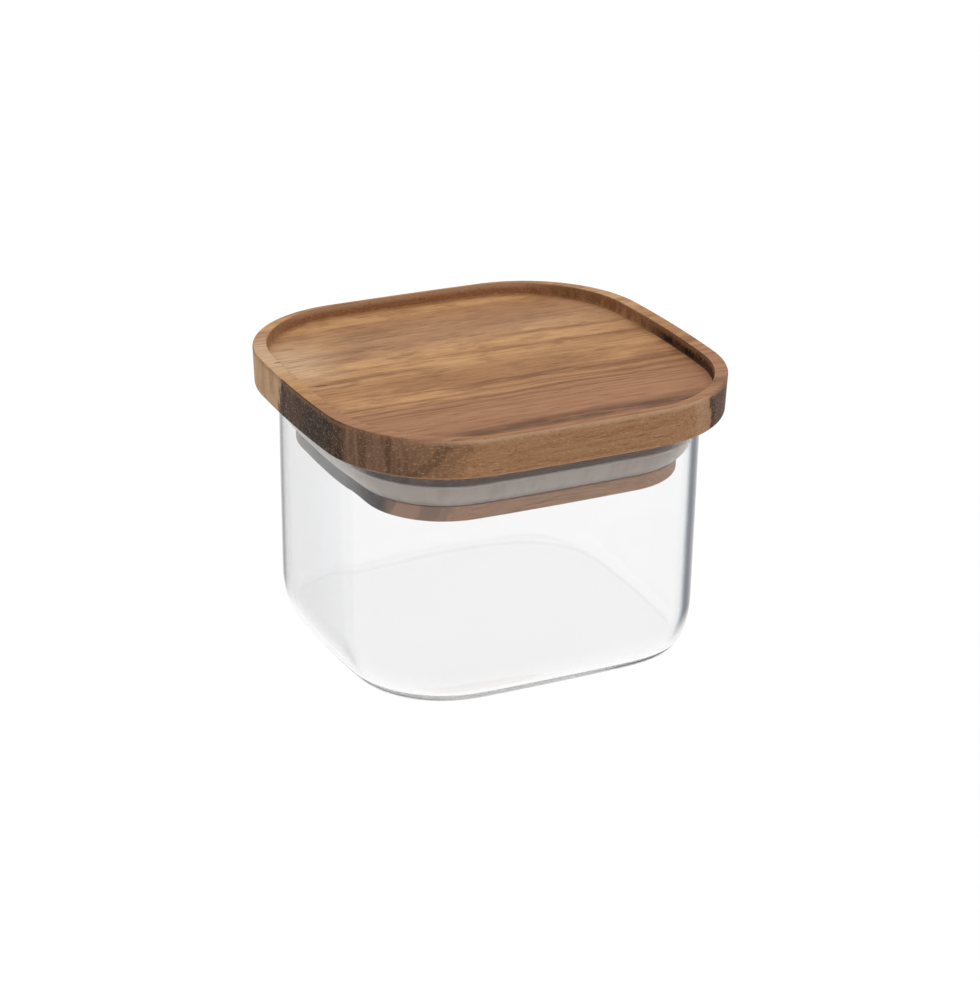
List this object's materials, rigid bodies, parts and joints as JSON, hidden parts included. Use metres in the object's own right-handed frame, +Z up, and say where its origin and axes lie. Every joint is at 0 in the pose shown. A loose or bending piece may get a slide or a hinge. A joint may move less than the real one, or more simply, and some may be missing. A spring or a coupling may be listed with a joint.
{
  "type": "glass storage jar",
  "caption": "Bowed-square clear glass jar with a press-in acacia lid, a shallow stacking tray in its top and a silicone seal ring.",
  "frame": {"origin": "middle of the jar's flat foot, on the surface it stands on", "axes": "+X along the lid's longer way and its wood grain, +Y across it, +Z up out of the jar, the way the lid lifts"},
  "size_m": [0.105, 0.0994, 0.071],
  "materials": {
    "clear_glass": "clear, smooth, fire-polished rim",
    "acacia": "oiled acacia, satin, long grain along X",
    "silicone": "milky translucent silicone, smooth, satin"
  },
  "bodies": {
    "jar": {"glass_jar": "clear_glass"},
    "lid": {"wooden_lid": "acacia", "seal_ring": "silicone"}
  },
  "joints": [
    {"name": "lid_lift", "type": "slide", "parent": "jar", "child": "lid", "axis": [0, 0, 1], "range_m": [0, 0.08]}
  ]
}
